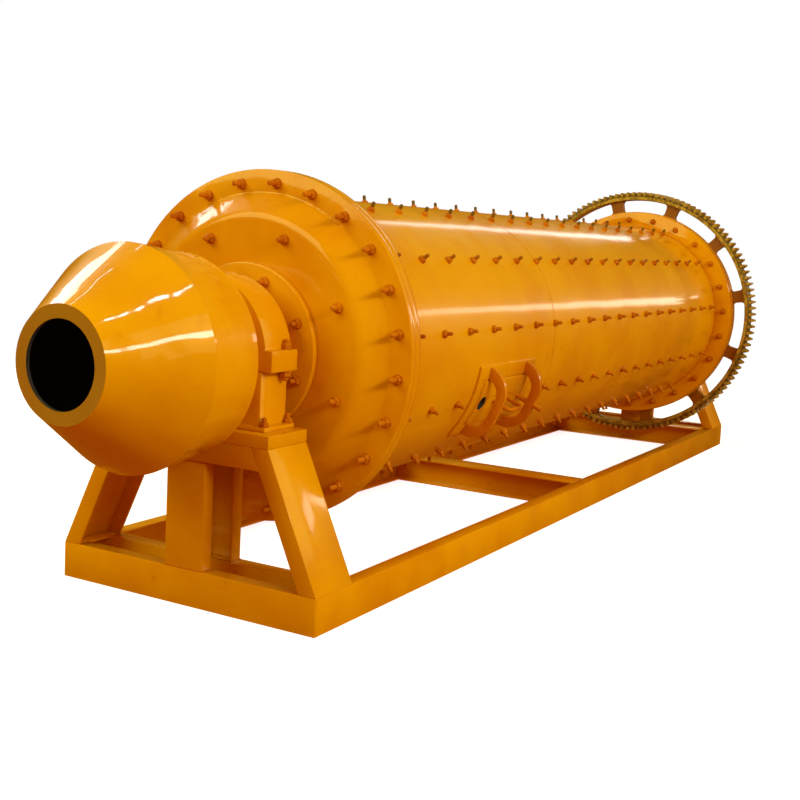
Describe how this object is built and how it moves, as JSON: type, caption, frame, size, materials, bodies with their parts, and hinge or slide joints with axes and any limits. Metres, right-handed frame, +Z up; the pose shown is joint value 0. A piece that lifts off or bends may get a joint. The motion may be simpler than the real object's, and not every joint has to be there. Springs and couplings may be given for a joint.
{
  "type": "ball mill",
  "caption": "Horizontal ball mill on a welded steel frame: bolted drum with conical drum feeder, manhole and split girth gear, turning in two trunnion bearings.",
  "frame": {"origin": "on the floor, midway along the whole machine and under the drum's axis", "axes": "+X along the drum from the feeder to the discharge, +Y to the side away from the manhole, +Z up"},
  "size_m": [6.351, 1.764, 1.858],
  "materials": {
    "orange_paint": "gloss machine enamel over steel plate and castings",
    "cast_steel": "machined teeth, dull and oiled, painted web",
    "bronze": "turned bearing bronze",
    "liner_iron": "as-cast wear plate"
  },
  "bodies": {
    "frame": {"discharge_bearing_base": "orange_paint", "discharge_bearing_bush": "bronze", "discharge_bearing_cap": "orange_paint", "discharge_inner_post": "orange_paint", "discharge_leg_far": "orange_paint", "discharge_leg_near": "orange_paint", "discharge_outer_post": "orange_paint", "discharge_sole_plate": "orange_paint", "discharge_top_beam": "orange_paint", "feed_bearing_base": "orange_paint", "feed_bearing_bush": "bronze", "feed_bearing_cap": "orange_paint", "feed_inner_post": "orange_paint", "feed_leg_far": "orange_paint", "feed_leg_near": "orange_paint", "feed_outer_post": "orange_paint", "feed_sole_plate": "orange_paint", "feed_top_beam": "orange_paint", "front_end_beam": "orange_paint", "front_inner_beam": "orange_paint", "middle_cross_beam": "orange_paint", "rear_end_beam": "orange_paint", "rear_inner_beam": "orange_paint", "side_beam_far": "orange_paint", "side_beam_near": "orange_paint"},
    "drum": {"discharge_head": "orange_paint", "discharge_hub": "orange_paint", "discharge_shell_flange": "orange_paint", "discharge_trunnion": "orange_paint", "feed_head": "orange_paint", "feed_hub": "orange_paint", "feed_shell_flange": "orange_paint", "feed_trunnion": "orange_paint", "feeder_back_plate": "orange_paint", "feeder_cone": "orange_paint", "feeder_drum": "orange_paint", "feeder_mouth_ring": "orange_paint", "girth_gear_half_lower": "cast_steel", "girth_gear_half_upper": "cast_steel", "manhole_cover": "orange_paint", "manhole_frame": "orange_paint", "manhole_yoke_discharge": "orange_paint", "manhole_yoke_feed": "orange_paint", "shell": "orange_paint", "shell_liner": "liner_iron"}
  },
  "joints": [
    {"name": "drum_spin", "type": "hinge", "parent": "frame", "child": "drum", "pos_m": [0, 0, 0.976], "axis": [1, 0, 0], "continuous": true}
  ]
}
